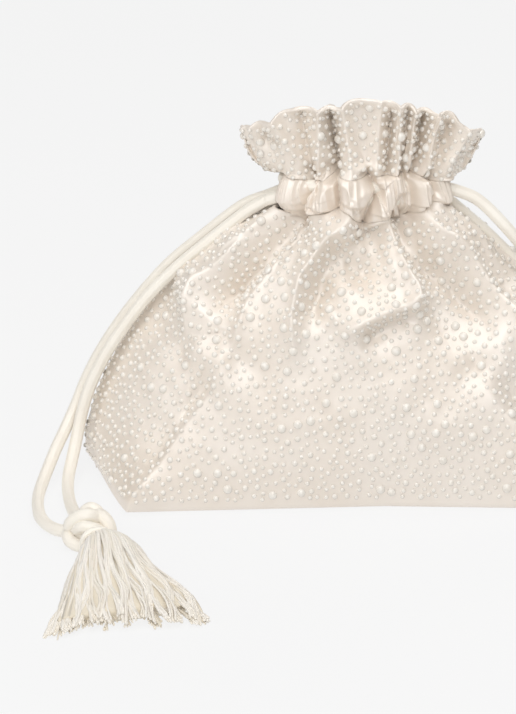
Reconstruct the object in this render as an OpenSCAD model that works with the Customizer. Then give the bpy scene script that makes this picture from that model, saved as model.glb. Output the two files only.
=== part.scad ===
// Evening drawstring pouch. A satin bag with a flat stiffened base is gathered into a neck,
// where two drawstrings run in a plain channel. A pearled ruffle stands above the channel, and
// each drawstring leaves the neck as two strands that end in one knot and one tassel.
// Millimetres. +Z is up, the front is -Y, and the origin is the middle of the base, on the floor.

/* [Bag size] */
// Full width of the body where it is widest, just above the floor
bag_w = 252; // [240:2:264]
// Full depth of the body where it is deepest
bag_d = 96; // [90:1:102]
// Height from the floor to the top of the ruffle
bag_h = 184; // [178:1:190]

/* [Fabric] */
// Thickness of the pearled satin of the body
satin_t = 0.9; // [0.6:0.05:0.9]
// Thickness of the fleece between the satin and the lining
fleece_t = 1; // [0.6:0.05:1]
// Thickness of the lining
lining_t = 0.5; // [0.3:0.05:0.5]
// Thickness of the stiff board in the base
board_t = 2; // [1.5:0.1:2]
// Number of pleats across each half of the ruffle
pleats = 7; // [5:1:9]

/* [Pearls] */
// Diameter of the largest glued half pearls
pearl_d = 4.5; // [3:0.5:5]

/* [Drawstrings] */
// Diameter of the satin drawstring
cord_d = 5.5; // [4.5:0.1:5.5]
// Distance from the knot to the tips of the tassel
tassel_l = 80; // [70:1:90]
// Width of the fanned end of the tassel
tassel_w = 70; // [50:1:76]

/* [Hidden] */

satin = [0.93, 0.90, 0.85];
plain_satin = [0.91, 0.87, 0.81];
fleece = [0.97, 0.97, 0.96];
lining_cloth = [0.86, 0.81, 0.73];
board_grey = [0.60, 0.60, 0.58];
pearl = [0.97, 0.96, 0.93];
cord_satin = [0.92, 0.90, 0.85];
yarn = [0.94, 0.92, 0.86];

wide = bag_w / 252;
deep = bag_d / 96;
tall = bag_h / 184;
layer_gap = 0.2;
seam_gap = 0.4;

// Half width and half depth of the body at each height
side_profile = [
  [0, 122], [8, 126], [18, 125.5], [30, 122], [44, 117], [58, 110], [72, 101], [85, 91.5],
  [97, 80], [107, 69], [115, 58], [121, 47], [124.5, 39.5], [127, 33], [150, 33]
];
depth_profile = [
  [0, 45], [8, 46.5], [18, 47.5], [30, 48], [44, 48], [58, 46], [72, 43], [85, 39],
  [97, 35], [107, 30.5], [115, 26], [121, 20.5], [124.5, 16], [127, 12.3], [150, 12.3]
];
// How round the plan of the body is: 0 has a crease at each base corner, 1 is an ellipse
round_profile = [[0, 0], [20, 0.25], [60, 0.7], [95, 1]];
body_levels = [0, 8, 18, 30, 44, 58, 72, 85, 97, 107, 115, 121, 124.5, 127, 138, 150];
around = 26;
crease_at = 0.7;
crease_base = 104;
crease_slope = 0.9;

// The casing: height, half width and half depth of its outer face
casing_side = [[124.5, 41.2], [129, 41.8], [138, 41.8], [146, 40.4], [149.5, 34.3]];
casing_depth = [[124.5, 17.6], [129, 20.4], [138, 20.8], [146, 19.4], [149.5, 13.6]];
casing_levels = [124.5, 129, 138, 146, 149.5];
casing_cut = 8.4;

ruffle_foot = 150.4;
ruffle_top = 184;
ruffle_drop = 17;
ruffle_steps = 4;

interlining_foot = 1.6;
board_foot = 1.2;
lining_foot = board_foot + board_t + layer_gap;
interlining_in = satin_t + layer_gap;
lining_in = interlining_in + fleece_t + layer_gap;

knot_at = [-115 * wide, -90 * deep, 9.2];
tassel_turn = -74;
right_lean = -12;
cord_sides = 8;
strand_rings = 12;
loop_rings = 16;

// ---- shared shapes ----

function blend_of(a, b, w) = a * (1 - w) + b * w;
function unit(v) = v / norm(v);

// A point on the front of the body: s runs from -1 at the left seam to 1 at the right seam,
// and inset moves the point in from the outer face
function body_point(s, z, inset) =
  let (
    h = z / tall,
    a = lookup(h, side_profile) * wide - inset,
    b = lookup(h, depth_profile) * deep - inset,
    c = max(30, crease_base - crease_slope * h) * wide - 0.7 * inset,
    u = abs(s),
    past = (u - crease_at) / (1 - crease_at),
    creased = u < crease_at ? [c * u / crease_at, b] : [blend_of(c, a, past), b * (1 - past)],
    oval = [a * sin(90 * u), b * cos(90 * u)],
    plan = blend_of(creased, oval, lookup(h, round_profile))
  )
  [sign(s) * plan.x, -plan.y - seam_gap / 2, z];

function casing_point(s, z, inset) =
  let (
    a = lookup(z / tall, casing_side) * wide - inset,
    b = lookup(z / tall, casing_depth) * deep - inset,
    end = acos(casing_cut / b)
  )
  [a * sin(end * s), -b * cos(end * s), z];

function ruffle_point(s, v, inset) =
  let (
    rim = ruffle_top - ruffle_drop * pow(abs(s), 2.5),
    fold = 2 * v * sin(180 * pleats * (s + 1)),
    a = (33 + 19 * v) * wide - inset + fold,
    b = (12.3 + 4.7 * v) * deep - inset + fold
  )
  [a * sin(90 * s), -b * cos(90 * s) - seam_gap / 2, blend_of(ruffle_foot, rim, v) * tall];

// Two grids of points, closed along their edges into one thin solid
module sheet_solid(outer, inner) {
  rows = len(outer);
  cols = len(outer[0]);
  shift = rows * cols;
  edge = concat(
    [for (j = [0 : cols - 2]) j],
    [for (i = [0 : rows - 2]) i * cols + cols - 1],
    [for (j = [cols - 1 : -1 : 1]) (rows - 1) * cols + j],
    [for (i = [rows - 1 : -1 : 1]) i * cols]
  );
  outer_faces = [
    for (i = [0 : rows - 2], j = [0 : cols - 2], half = [0, 1])
      let (k = i * cols + j)
      half == 0 ? [k, k + cols, k + cols + 1] : [k, k + cols + 1, k + 1]
  ];
  inner_faces = [for (f = outer_faces) [f[2] + shift, f[1] + shift, f[0] + shift]];
  rim_faces = [
    for (e = [0 : len(edge) - 1], half = [0, 1])
      let (a = edge[e], b = edge[(e + 1) % len(edge)])
      half == 0 ? [a, b, b + shift] : [a, b + shift, a + shift]
  ];
  polyhedron(
    points = concat([for (row = outer, p = row) p], [for (row = inner, p = row) p]),
    faces = concat(outer_faces, inner_faces, rim_faces)
  );
}

function body_grid(levels, inset) = [
  for (z = levels) [for (j = [0 : around]) body_point(2 * j / around - 1, z * tall, inset)]
];

// A wall layer whose outer face is inset from the body by from_in, starting at height foot
module wall_layer(foot, from_in, thickness) {
  levels = concat([foot / tall], [for (z = body_levels) if (z > foot) z]);
  sheet_solid(body_grid(levels, from_in), body_grid(levels, from_in + thickness));
}

module outer_wall() {
  wall_layer(0, 0, satin_t);
}

module interlining_wall() {
  wall_layer(interlining_foot, interlining_in, fleece_t);
}

module lining_wall() {
  wall_layer(lining_foot, lining_in, lining_t);
}

module casing_wall() {
  steps = 16;
  grids = [
    for (inset = [0, satin_t]) [
      for (z = casing_levels) [for (j = [0 : steps]) casing_point(2 * j / steps - 1, z * tall, inset)]
    ]
  ];
  sheet_solid(grids[0], grids[1]);
}

module ruffle_wall(from_in, thickness) {
  steps = 6 * pleats;
  grids = [
    for (inset = [from_in, from_in + thickness]) [
      for (i = [0 : ruffle_steps])
        [for (j = [0 : steps]) ruffle_point(2 * j / steps - 1, i / ruffle_steps, inset)]
    ]
  ];
  sheet_solid(grids[0], grids[1]);
}

// A half pearl whose flat side is sunk a little into the cloth at point p, facing along n
module half_pearl(p, n, d) {
  sink = 0.3;
  translate(p - sink * n)
    rotate([0, acos(n.z), atan2(n.y, n.x)])
      rotate_extrude($fn = 24)
        intersection() {
          circle(d = d, $fn = 24);
          square(d);
        }
}

function body_normal(s, z) =
  let (
    p = body_point(s, z, 0),
    along = body_point(s + 0.01, z, 0) - p,
    upward = body_point(s, z + 1, 0) - p
  )
  unit(cross(along, upward));

function ruffle_normal(s, v) =
  let (
    p = ruffle_point(s, v, 0),
    along = ruffle_point(s + 0.005, v, 0) - p,
    upward = ruffle_point(s, v + 0.02, 0) - p
  )
  unit(cross(along, upward));

module body_pearls() {
  for (row = [0 : 6], col = [-3 : 3]) {
    z = 13 + 15 * row + 4 * sin(97 * col + 31 * row);
    s = (col + 0.5 * (row % 2)) / 4.6 + 0.03 * sin(71 * row + 53 * col);
    half_pearl(body_point(s, z * tall, 0), body_normal(s, z * tall), pearl_d);
  }
}

module ruffle_pearls() {
  for (row = [1, 2], col = [-4 : 4]) {
    s = (col + 0.4 * row - 0.6) / 5.2;
    v = 0.36 * row;
    half_pearl(ruffle_point(s, v, 0), ruffle_normal(s, v), 0.75 * pearl_d);
  }
}

// A flat plate with the plan of the base, inset from the walls, which lean in above it
module base_plate(foot, thickness, inset) {
  top = foot + thickness;
  clear = inset + 0.5 * top;
  front = [for (j = [1 : around - 1]) body_point(2 * j / around - 1, top, clear)];
  side = lookup(top, side_profile) * wide - clear;
  outline = concat(
    [[-side, 0]],
    [for (p = front) [p.x, p.y]],
    [[side, 0]],
    [for (j = [len(front) - 1 : -1 : 0]) [front[j].x, -front[j].y]]
  );
  translate([0, 0, foot]) linear_extrude(thickness) polygon(outline);
}

// ---- drawstrings ----

// Round points along the left drawstring, from the knot to the neck, for each of its strands
front_strand = [
  [-119, -81.5, 7], [-121.5, -74.5, 5.2], [-124.5, -66, 4], [-127, -57, 3.4], [-129, -48, 3.3],
  [-130.5, -38, 3.8], [-131, -29, 6], [-130, -20.5, 11], [-128.5, -13.5, 18], [-126.5, -9, 28],
  [-122.5, -7, 41], [-115.5, -6.5, 56], [-106, -6, 71], [-95, -6, 86], [-81.5, -6, 100],
  [-66, -5.5, 113.5], [-51, -4, 125.5]
];
back_strand = [
  [-124.5, -87.5, 5.8], [-130.5, -83, 4.2], [-136, -76, 3.4], [-140, -67.5, 3.3],
  [-142, -58, 3.3], [-143, -48, 3.6], [-142.5, -38, 5], [-140.5, -28, 9], [-137.5, -18.5, 15],
  [-133.5, -9, 22], [-129.5, -2, 30], [-125, 1.5, 41], [-118.5, 3, 54], [-109.5, 3.5, 68.5],
  [-98.5, 3.5, 83.5], [-85.5, 3.5, 98.5], [-69.5, 3.5, 112.5], [-53, 3.3, 126]
];
loop_turns = [for (turn = [25 : 31 : 335]) turn];

// The whole drawstring of one side: up one strand, round the channel and down the other
function drawstring_route(loop_z) = concat(
  [for (p = front_strand) [p.x * wide, p.y * deep, p.z]],
  [[-42 * wide, -3.1, loop_z]],
  [for (turn = loop_turns) [-37.2 * wide * cos(turn), -16.3 * deep * sin(turn), loop_z]],
  [[-42 * wide, 3.1, loop_z]],
  [for (i = [len(back_strand) - 1 : -1 : 0])
    [back_strand[i].x * wide, back_strand[i].y * deep, back_strand[i].z]]
);

// A point on the smooth curve through the points, where at counts points from the first
function on_curve(points, at) =
  let (
    last = len(points) - 1,
    i = min(floor(at), last - 1),
    t = at - i,
    p0 = points[max(i - 1, 0)],
    p1 = points[i],
    p2 = points[i + 1],
    p3 = points[min(i + 2, last)]
  )
  0.5 * (2 * p1 + (p2 - p0) * t + (2 * p0 - 5 * p1 + 4 * p2 - p3) * t * t
    + (3 * p1 - p0 - 3 * p2 + p3) * t * t * t);

// Ring centres along the route, counted so that a ring falls on each end of the channel
function ring_centres(route) =
  let (
    exit_a = len(front_strand),
    exit_b = exit_a + len(loop_turns) + 1
  )
  concat(
    [for (i = [0 : strand_rings - 2]) on_curve(route, exit_a * i / (strand_rings - 1))],
    [for (i = [0 : loop_rings - 2])
      on_curve(route, exit_a + (exit_b - exit_a) * i / (loop_rings - 1))],
    [for (i = [0 : strand_rings - 1])
      on_curve(route, exit_b + (len(route) - 1 - exit_b) * i / (strand_rings - 1))]
  );

function ring_directions(centres) = [
  for (i = [0 : len(centres) - 1])
    unit(centres[min(i + 1, len(centres) - 1)] - centres[max(i - 1, 0)])
];

// Carries one side direction along the cord so that the rings never twist
function ring_sides(directions, i, side) =
  i == len(directions) ? [] :
  let (here = unit(side - (side * directions[i]) * directions[i]))
  concat([here], ring_sides(directions, i + 1, here));

// The part of the left drawstring between two of its rings
module cord_length(loop_z, first, last) {
  centres = ring_centres(drawstring_route(loop_z * tall));
  directions = ring_directions(centres);
  sides = ring_sides(directions, 0, [0, 0, 1]);
  points = [
    for (i = [first : last], k = [0 : cord_sides - 1])
      let (turn = 360 * k / cord_sides)
      centres[i] + cord_d / 2 * (cos(turn) * sides[i] + sin(turn) * cross(directions[i], sides[i]))
  ];
  rings = last - first;
  walls = [
    for (i = [0 : rings - 1], k = [0 : cord_sides - 1], half = [0, 1])
      let (
        a = i * cord_sides + k,
        b = i * cord_sides + (k + 1) % cord_sides
      )
      half == 0 ? [a, b + cord_sides, b] : [a, a + cord_sides, b + cord_sides]
  ];
  start_cap = [for (k = [0 : cord_sides - 1]) k];
  end_cap = [for (k = [cord_sides - 1 : -1 : 0]) rings * cord_sides + k];
  polyhedron(points = points, faces = concat([start_cap], walls, [end_cap]));
}

left_loop_z = 131;
right_loop_z = 138;
loop_first = strand_rings - 1;
loop_last = loop_first + loop_rings - 1;
route_last = loop_last + strand_rings - 1;

// Three turns of cord drawn tight into a ball
module knot() {
  translate(knot_at) rotate([0, 60, 20])
    rotate_extrude($fn = 40)
      intersection() {
        union() {
          translate([5.9, 0]) circle(d = cord_d, $fn = 20);
          translate([4.3, 4.4]) circle(d = cord_d, $fn = 20);
          translate([4.3, -4.4]) circle(d = cord_d, $fn = 20);
          translate([0, -6.4]) square([4.4, 12.8]);
        }
        translate([0, -10]) square([10, 20]);
      }
}

// Everything on the tassel is drawn along +Z from the knot, then laid on the floor
module along_tassel() {
  translate(knot_at) rotate([0, 90, tassel_turn]) children();
}

// Turns a piece of the right tassel about its knot, so the two tassels do not lie quite alike
module leaning() {
  translate(knot_at) rotate([0, 0, right_lean]) translate(-knot_at) children();
}

module binding() {
  along_tassel()
    translate([0, 0, 9.4])
      rotate_extrude($fn = 40)
        polygon([[0, 0], [4.6, 0], [5.6, 1], [5.9, 3], [5.6, 5.4], [0, 5.4]]);
}

module tassel_head() {
  along_tassel()
    rotate_extrude($fn = 40)
      polygon([[0, 14.8], [5.2, 14.8], [7.4, 16.5], [8.6, 19.5], [8.8, 24], [8, 27], [0, 27]]);
}

// The fringe: flat oval sections that fan out from the head and sink to the floor
module tassel_skirt() {
  sides = 20;
  stations = [[27.2, 8, 8, 0], [34, 13, 8.2, 0.4], [44, 20, 7.4, 1.2], [56, 27, 6, 2.6],
    [68, 32, 4.6, 4.2], [80, 35, 3.2, 5.8]];
  points = [
    for (st = stations, k = [0 : sides - 1])
      let (
        turn = 360 * k / sides,
        reach = st[0] * tassel_l / 80,
        drop = (st[0] > 70 ? 5 * abs(sin(turn)) : 0)
      )
      [st[3] + st[2] * cos(turn), st[1] * tassel_w / 70 * sin(turn), max(27.2, reach - drop)]
  ];
  walls = [
    for (i = [0 : len(stations) - 2], k = [0 : sides - 1], half = [0, 1])
      let (
        a = i * sides + k,
        b = i * sides + (k + 1) % sides
      )
      half == 0 ? [a, b + sides, b] : [a, a + sides, b + sides]
  ];
  start_cap = [for (k = [0 : sides - 1]) k];
  top = len(points);
  end_cap = [for (k = [0 : sides - 1]) [top - sides + (k + 1) % sides, top - sides + k, top]];
  tip = [stations[5][3], 0, tassel_l];
  along_tassel()
    polyhedron(points = concat(points, [tip]), faces = concat([start_cap], walls, end_cap));
}

// ---- nodes ----

module base_panel() {
  color(satin) base_plate(0, board_foot - layer_gap, satin_t + 0.4);
}

module base_board() {
  color(board_grey) base_plate(board_foot, board_t, interlining_in + fleece_t + 0.5);
}

module lining_base() {
  color(lining_cloth) base_plate(lining_foot, lining_t, lining_in + lining_t + 0.5);
}

module outer_front() {
  color(satin) outer_wall();
}

module interlining_front() {
  color(fleece) interlining_wall();
}

module lining_front() {
  color(lining_cloth) lining_wall();
}

module casing_front() {
  color(plain_satin) casing_wall();
}

module ruffle_front() {
  color(satin) ruffle_wall(0, satin_t);
}

module ruffle_facing_front() {
  color(plain_satin) ruffle_wall(satin_t + layer_gap, lining_t);
}

module large_pearls_front() {
  color(pearl) body_pearls();
}

module ruffle_pearls_front() {
  color(pearl) ruffle_pearls();
}

module outer_back() {
  mirror([0, 1, 0]) outer_front();
}

module interlining_back() {
  mirror([0, 1, 0]) interlining_front();
}

module lining_back() {
  mirror([0, 1, 0]) lining_front();
}

module casing_back() {
  mirror([0, 1, 0]) casing_front();
}

module ruffle_back() {
  mirror([0, 1, 0]) ruffle_front();
}

module ruffle_facing_back() {
  mirror([0, 1, 0]) ruffle_facing_front();
}

module large_pearls_back() {
  mirror([0, 1, 0]) large_pearls_front();
}

module ruffle_pearls_back() {
  mirror([0, 1, 0]) ruffle_pearls_front();
}

module left_drawstring() {
  color(cord_satin) cord_length(left_loop_z, loop_first, loop_last);
}

module right_drawstring() {
  color(cord_satin) mirror([1, 0, 0]) cord_length(right_loop_z, loop_first, loop_last);
}

module left_strand_front() {
  color(cord_satin) cord_length(left_loop_z, 0, loop_first);
}

module left_strand_back() {
  color(cord_satin) cord_length(left_loop_z, loop_last, route_last);
}

module right_strand_front() {
  color(cord_satin) mirror([1, 0, 0]) cord_length(right_loop_z, 0, loop_first);
}

module right_strand_back() {
  color(cord_satin) mirror([1, 0, 0]) cord_length(right_loop_z, loop_last, route_last);
}

module left_knot() {
  color(cord_satin) knot();
}

module right_knot() {
  mirror([1, 0, 0]) left_knot();
}

module left_binding() {
  color(plain_satin) binding();
}

module right_binding() {
  mirror([1, 0, 0]) leaning() left_binding();
}

module left_tassel_head() {
  color(yarn) tassel_head();
}

module right_tassel_head() {
  mirror([1, 0, 0]) leaning() left_tassel_head();
}

module left_tassel_skirt() {
  color(yarn) tassel_skirt();
}

module right_tassel_skirt() {
  mirror([1, 0, 0]) leaning() left_tassel_skirt();
}

base_panel();
base_board();
lining_base();
outer_front();
interlining_front();
lining_front();
casing_front();
ruffle_front();
ruffle_facing_front();
large_pearls_front();
ruffle_pearls_front();
outer_back();
interlining_back();
lining_back();
casing_back();
ruffle_back();
ruffle_facing_back();
large_pearls_back();
ruffle_pearls_back();
left_drawstring();
right_drawstring();
left_strand_front();
left_strand_back();
right_strand_front();
right_strand_back();
left_knot();
right_knot();
left_binding();
left_tassel_head();
left_tassel_skirt();
right_binding();
right_tassel_head();
right_tassel_skirt();
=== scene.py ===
import bpy
import numpy as np
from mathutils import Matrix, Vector


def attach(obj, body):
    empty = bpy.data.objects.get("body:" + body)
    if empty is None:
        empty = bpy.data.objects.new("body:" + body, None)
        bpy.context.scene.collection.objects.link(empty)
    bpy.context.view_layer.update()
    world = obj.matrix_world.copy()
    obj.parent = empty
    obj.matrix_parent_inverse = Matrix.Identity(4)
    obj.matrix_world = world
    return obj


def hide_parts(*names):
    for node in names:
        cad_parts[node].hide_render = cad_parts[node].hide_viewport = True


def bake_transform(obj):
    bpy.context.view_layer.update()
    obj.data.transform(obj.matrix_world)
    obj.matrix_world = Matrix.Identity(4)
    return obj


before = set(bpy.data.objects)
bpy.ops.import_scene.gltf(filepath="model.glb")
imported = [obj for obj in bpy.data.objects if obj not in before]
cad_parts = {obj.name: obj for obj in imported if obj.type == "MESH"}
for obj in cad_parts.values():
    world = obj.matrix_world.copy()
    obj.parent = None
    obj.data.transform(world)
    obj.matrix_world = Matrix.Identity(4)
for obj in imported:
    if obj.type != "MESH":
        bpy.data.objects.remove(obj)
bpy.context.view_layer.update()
MM = 0.001

# ---------------------------------------------------------------- camera, floor and light

# The centre of the picture is a little left of the bag's middle
aim = Vector((-0.0456, 0, 0.054))
eye = Vector((0, -1.2517, 0.5597))
camera = bpy.data.objects.new("camera", bpy.data.cameras.new("camera"))
camera.data.lens = 148.6
camera.data.sensor_width = 36
camera.location = eye
camera.rotation_euler = (aim - eye).to_track_quat("-Z", "Y").to_euler()
bpy.context.scene.collection.objects.link(camera)
bpy.context.scene.camera = camera

LIT_POINT = Vector((0, 0, 0.08))


def softbox(name, place, width, height, power):
    """A rectangular light, width by height in metres, that faces the bag"""
    data = bpy.data.lights.new(name, "AREA")
    data.shape = "RECTANGLE"
    data.size = width
    data.size_y = height
    data.energy = power
    light = bpy.data.objects.new(name, data)
    light.location = place
    light.rotation_euler = (LIT_POINT - Vector(place)).to_track_quat("-Z", "Y").to_euler()
    bpy.context.scene.collection.objects.link(light)


softbox("top_box", (0.15, -0.3, 1.35), 1.6, 1.3, 13.5)
softbox("front_box", (-0.3, -1.9, 1.45), 1.5, 0.8, 16)
softbox("low_box", (0.5, -2.2, 0.55), 1.0, 0.4, 5)
softbox("left_box", (-1.4, -0.7, 0.7), 0.6, 0.9, 4.5)
softbox("back_box", (0.4, 1.7, 1.2), 1.2, 0.8, 9)

world = bpy.data.worlds.new("studio")
world.use_nodes = True
background = world.node_tree.nodes["Background"]
background.inputs["Color"].default_value = (1, 0.985, 0.965, 1)
background.inputs["Strength"].default_value = 0.18
bpy.context.scene.world = world
view = bpy.context.scene.view_settings
view.view_transform = "Standard"
view.look = "None"
view.exposure = 0


# ---------------------------------------------------------------- materials


def new_material(name):
    material = bpy.data.materials.new(name)
    material.use_nodes = True
    return material, material.node_tree, material.node_tree.nodes["Principled BSDF"]


def set_inputs(node, **values):
    """Sets input values by name, with _ for each space"""
    for key, value in values.items():
        node.inputs[key.replace("_", " ")].default_value = value


def add(tree, kind, **values):
    """A new node with its input values set by name"""
    node = tree.nodes.new(kind)
    set_inputs(node, **values)
    return node


def object_place(tree, scale=(1, 1, 1)):
    """Coordinates in metres on the object, stretched by scale"""
    mapping = add(tree, "ShaderNodeMapping", Scale=scale)
    tree.links.new(tree.nodes.new("ShaderNodeTexCoord").outputs["Object"], mapping.inputs["Vector"])
    return mapping.outputs["Vector"]


def noise(tree, place, scale, detail=2.0):
    node = add(tree, "ShaderNodeTexNoise", Scale=scale, Detail=detail)
    tree.links.new(place, node.inputs["Vector"])
    return node.outputs["Fac"]


def between(tree, fac, low, high, start=0.3, stop=0.7):
    """A colour ramp from low at start to high at stop"""
    ramp = tree.nodes.new("ShaderNodeValToRGB")
    ramp.color_ramp.elements[0].position = start
    ramp.color_ramp.elements[1].position = stop
    ramp.color_ramp.elements[0].color = (*low, 1)
    ramp.color_ramp.elements[1].color = (*high, 1)
    tree.links.new(fac, ramp.inputs["Fac"])
    return ramp.outputs["Color"]


def vary_roughness(tree, shader, fac, low, high):
    node = add(tree, "ShaderNodeMapRange", To_Min=low, To_Max=high)
    tree.links.new(fac, node.inputs["Value"])
    tree.links.new(node.outputs["Result"], shader.inputs["Roughness"])


def bumped(tree, shader, height, strength, distance, under=None):
    node = add(tree, "ShaderNodeBump", Strength=strength, Distance=distance)
    tree.links.new(height, node.inputs["Height"])
    if under is not None:
        tree.links.new(under, node.inputs["Normal"])
    tree.links.new(node.outputs["Normal"], shader.inputs["Normal"])
    return node.outputs["Normal"]


WEAVE_SCALE = 4200.0
WEAVE_DEPTH = 0.00003
SLUB_DEPTH = 0.00012


def cloth_material(name, low, high, rough, sheen):
    """Woven cloth: fine weave, slight slubs, and a soft change of tone"""
    material, tree, shader = new_material(name)
    place = object_place(tree)
    tone = noise(tree, place, 26.0, 3.0)
    tree.links.new(between(tree, tone, low, high), shader.inputs["Base Color"])
    vary_roughness(tree, shader, noise(tree, place, 140.0), rough - 0.05, rough + 0.07)
    threads = noise(tree, object_place(tree, (0.25, 1, 1)), WEAVE_SCALE, 1.0)
    slubs = noise(tree, place, 330.0, 2.0)
    fine = bumped(tree, shader, threads, 0.5, WEAVE_DEPTH)
    bumped(tree, shader, slubs, 0.4, SLUB_DEPTH, fine)
    set_inputs(shader, Sheen_Weight=sheen, Sheen_Roughness=0.4, Specular_IOR_Level=0.5)
    return material


def satin_material(name, low, high, rough):
    """Cloth with the strong soft gloss of satin"""
    material = cloth_material(name, low, high, rough, 0.1)
    shader = material.node_tree.nodes["Principled BSDF"]
    set_inputs(shader, IOR=2.4, Coat_Weight=0.4, Coat_IOR=1.6, Coat_Roughness=0.38)
    return material


satin = satin_material("satin", (0.765, 0.67, 0.57), (0.815, 0.74, 0.66), 0.48)
plain_satin = satin_material("plain_satin", (0.76, 0.66, 0.555), (0.81, 0.72, 0.63), 0.38)
lining = cloth_material("lining", (0.62, 0.50, 0.38), (0.68, 0.56, 0.44), 0.5, 0.1)
board = cloth_material("board", (0.42, 0.41, 0.39), (0.48, 0.47, 0.45), 0.8, 0.0)


def pearl_coating():
    """Glossy off-white with a slight change of tone from pearl to pearl"""
    material, tree, shader = new_material("pearl")
    place = object_place(tree)
    tone = noise(tree, place, 420.0, 1.0)
    colour = between(tree, tone, (0.76, 0.71, 0.64), (0.82, 0.785, 0.73))
    tree.links.new(colour, shader.inputs["Base Color"])
    vary_roughness(tree, shader, noise(tree, place, 900.0), 0.2, 0.3)
    bumped(tree, shader, noise(tree, place, 1500.0), 0.15, 0.00005)
    set_inputs(shader, Specular_IOR_Level=0.6, Coat_Weight=0.5, Coat_Roughness=0.12)
    return material


def toned_material(name, dark, light, rough, sheen, scale):
    """Cord or yarn, from dark to light as the mesh's own attribute tone goes from 0 to 1. On the cord the
    tone wanders at random; on the yarn it is mostly painted shade, darker low in the tassel
    """
    material, tree, shader = new_material(name)
    attribute = tree.nodes.new("ShaderNodeAttribute")
    attribute.attribute_name = "tone"
    place = object_place(tree)
    tree.links.new(between(tree, attribute.outputs["Fac"], dark, light, 0.0, 1.0),
                   shader.inputs["Base Color"])
    vary_roughness(tree, shader, noise(tree, place, scale), rough - 0.06, rough + 0.08)
    bumped(tree, shader, noise(tree, place, scale * 3, 3.0), 0.35, 0.0001)
    set_inputs(shader, Sheen_Weight=sheen, Sheen_Roughness=0.5)
    return material


pearl = pearl_coating()
cord_satin = toned_material("cord_satin", (0.74, 0.66, 0.56), (0.90, 0.86, 0.78), 0.42, 0.2, 500.0)
yarn = toned_material("yarn", (0.67, 0.58, 0.42), (0.87, 0.83, 0.77), 0.8, 0.35, 900.0)


def floor_material():
    """A white sweep, lit evenly, that still takes a soft shadow"""
    material, tree, shader = new_material("floor")
    tone = noise(tree, object_place(tree), 3.0)
    colour = between(tree, tone, (0.10, 0.10, 0.10), (0.105, 0.105, 0.105))
    tree.links.new(colour, shader.inputs["Base Color"])
    set_inputs(shader, Roughness=1.0, Specular_IOR_Level=0.0, Emission_Color=(1, 1, 1, 1),
               Emission_Strength=0.82)
    return material


# ---------------------------------------------------------------- meshes


def make_piece(name, verts_mm, faces, material, tone=None):
    """A mesh object from points in millimetres"""
    mesh = bpy.data.meshes.new(name)
    mesh.from_pydata((np.asarray(verts_mm) * MM).tolist(), [], faces)
    mesh.shade_smooth()
    if tone is not None:
        mesh.attributes.new("tone", "FLOAT", "POINT").data.foreach_set("value", tone)
    mesh.materials.append(material)
    piece = bpy.data.objects.new(name, mesh)
    bpy.context.scene.collection.objects.link(piece)
    return piece


def grid_faces(rows, cols, first=0, around=False):
    """Quads of a grid of points; around joins the last column to the first"""
    i, j = np.meshgrid(np.arange(rows - 1), np.arange(cols if around else cols - 1), indexing="ij")
    a = first + i * cols + j
    b = first + i * cols + (j + 1) % cols
    return np.stack([a, b, b + cols, a + cols], -1).reshape(-1, 4)


def grid_normals(grid):
    """Unit normals of a grid of points, towards the side from which columns run right as rows go up"""
    along = np.gradient(grid, axis=1)
    up = np.gradient(grid, axis=0)
    normal = np.cross(along, up)
    return normal / np.maximum(np.linalg.norm(normal, axis=2, keepdims=True), 1e-9)


def closed_sheet(name, outer, inner, material):
    """One thin closed solid between two grids of the same size"""
    rows, cols = outer.shape[:2]
    shift = rows * cols
    front = grid_faces(rows, cols)
    back = grid_faces(rows, cols, shift)[:, ::-1]
    rim = np.concatenate([
        np.arange(cols - 1),
        np.arange(rows - 1) * cols + cols - 1,
        (rows - 1) * cols + np.arange(cols - 1, 0, -1),
        np.arange(rows - 1, 0, -1) * cols,
    ])
    after = np.roll(rim, -1)
    edge = np.stack([rim, rim + shift, after + shift, after], -1)
    faces = np.concatenate([front, back, edge]).tolist()
    verts = np.concatenate([outer.reshape(-1, 3), inner.reshape(-1, 3)])
    return make_piece(name, verts, faces, material)


def ease(t):
    """From 0 to 1 with a gentle start and stop, as t goes from 0 to 1"""
    t = np.clip(t, 0, 1)
    return t * t * (3 - 2 * t)


def smooth_line(points, per_span=12):
    """A smooth curve through the points, with per_span steps between each two"""
    p = np.array(points, float)
    p = np.vstack([p[0], p, p[-1]])
    t = np.linspace(0, 1, per_span, endpoint=False)[:, None]
    spans = [
        0.5 * (2 * b + (c - a) * t + (2 * a - 5 * b + 4 * c - d) * t**2 + (3 * b - a - 3 * c + d) * t**3)
        for a, b, c, d in zip(p[:-3], p[1:-2], p[2:-1], p[3:])
    ]
    return np.vstack(spans + [p[-1:]])


def even_line(line, step):
    """The same line with points every step, in millimetres"""
    lengths = np.concatenate([[0], np.cumsum(np.linalg.norm(np.diff(line, axis=0), axis=1))])
    at = np.linspace(0, lengths[-1], max(int(lengths[-1] / step), 2) + 1)
    return np.stack([np.interp(at, lengths, line[:, k]) for k in range(3)], -1)


def line_frames(line):
    """Unit vectors along and across a line that never twist"""
    along = np.gradient(line, axis=0)
    along /= np.linalg.norm(along, axis=1)[:, None]
    across = np.zeros_like(along)
    held = np.array([0, 0, 1.0])
    for i, direction in enumerate(along):
        held = held - (held @ direction) * direction
        held /= np.linalg.norm(held)
        across[i] = held
    return along, across, np.cross(along, across)


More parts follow.
